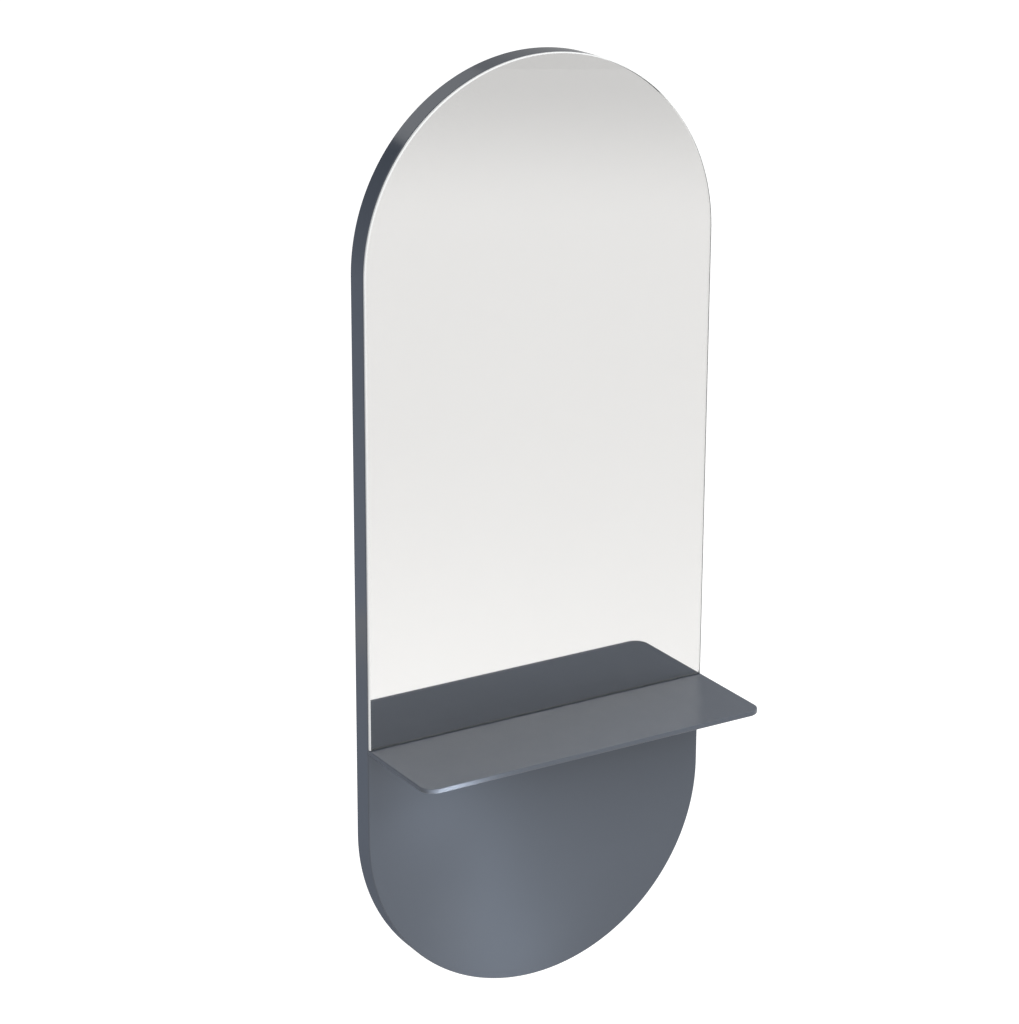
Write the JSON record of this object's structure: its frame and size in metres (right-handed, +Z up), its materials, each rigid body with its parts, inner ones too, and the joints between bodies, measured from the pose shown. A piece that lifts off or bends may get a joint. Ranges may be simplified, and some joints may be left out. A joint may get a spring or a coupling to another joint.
{
  "type": "wall-hung salon mirror station",
  "caption": "Wall-hung pill-shaped salon station: painted panel with an edge-to-edge mirror over a thin flat shelf, on a bevelled wall cleat that it lifts off.",
  "frame": {"origin": "middle of the wall cleat's back face, where it lies on the wall", "axes": "+X to the right as seen from the front, +Y into the wall, +Z up"},
  "size_m": [0.65, 0.23, 1.6],
  "materials": {
    "panel_paint": "fibreboard under slate grey satin lacquer",
    "shelf_coat": "plate with a slate grey satin powder coat",
    "mirror_glass": "clear float glass with a polished edge",
    "mirror_silver": "silvering with a safety film behind it",
    "foam_tape": "closed-cell foam mirror tape",
    "bare_board": "bare fibreboard batten",
    "plywood": "bare birch plywood batten",
    "zinc_steel": "zinc-plated steel",
    "brass": "turned brass"
  },
  "bodies": {
    "wall_side": {"wall_cleat": "plywood"},
    "panel": {"face_board": "panel_paint", "rim_top_arch": "panel_paint", "rim_bottom_arch": "panel_paint", "rim_right_stile": "panel_paint", "rim_left_stile": "panel_paint", "hanging_rail": "plywood", "middle_rail": "bare_board", "shelf_rail": "bare_board", "lower_rail": "bare_board", "hanging_screw_1": "zinc_steel", "hanging_screw_2": "zinc_steel", "hanging_screw_3": "zinc_steel", "hanging_screw_4": "zinc_steel", "hanging_screw_5": "zinc_steel", "hanging_screw_6": "zinc_steel", "mirror_glass": "mirror_glass", "mirror_silver": "mirror_silver", "mirror_tape_1": "foam_tape", "mirror_tape_2": "foam_tape", "mirror_tape_3": "foam_tape", "mirror_tape_4": "foam_tape", "shelf_plate": "shelf_coat", "shelf_bracket_1": "zinc_steel", "shelf_bracket_2": "zinc_steel", "shelf_bracket_3": "zinc_steel", "shelf_bolt_1": "zinc_steel", "shelf_bolt_2": "zinc_steel", "shelf_bolt_3": "zinc_steel", "shelf_insert_1": "brass", "shelf_insert_2": "brass", "shelf_insert_3": "brass", "bracket_screw_1": "zinc_steel", "bracket_screw_2": "zinc_steel", "bracket_screw_3": "zinc_steel", "bracket_screw_4": "zinc_steel", "bracket_screw_5": "zinc_steel", "bracket_screw_6": "zinc_steel"}
  },
  "joints": [
    {"name": "panel_lift", "type": "slide", "parent": "wall_side", "child": "panel", "axis": [0, 0, 1], "range_m": [0, 0.016]}
  ]
}
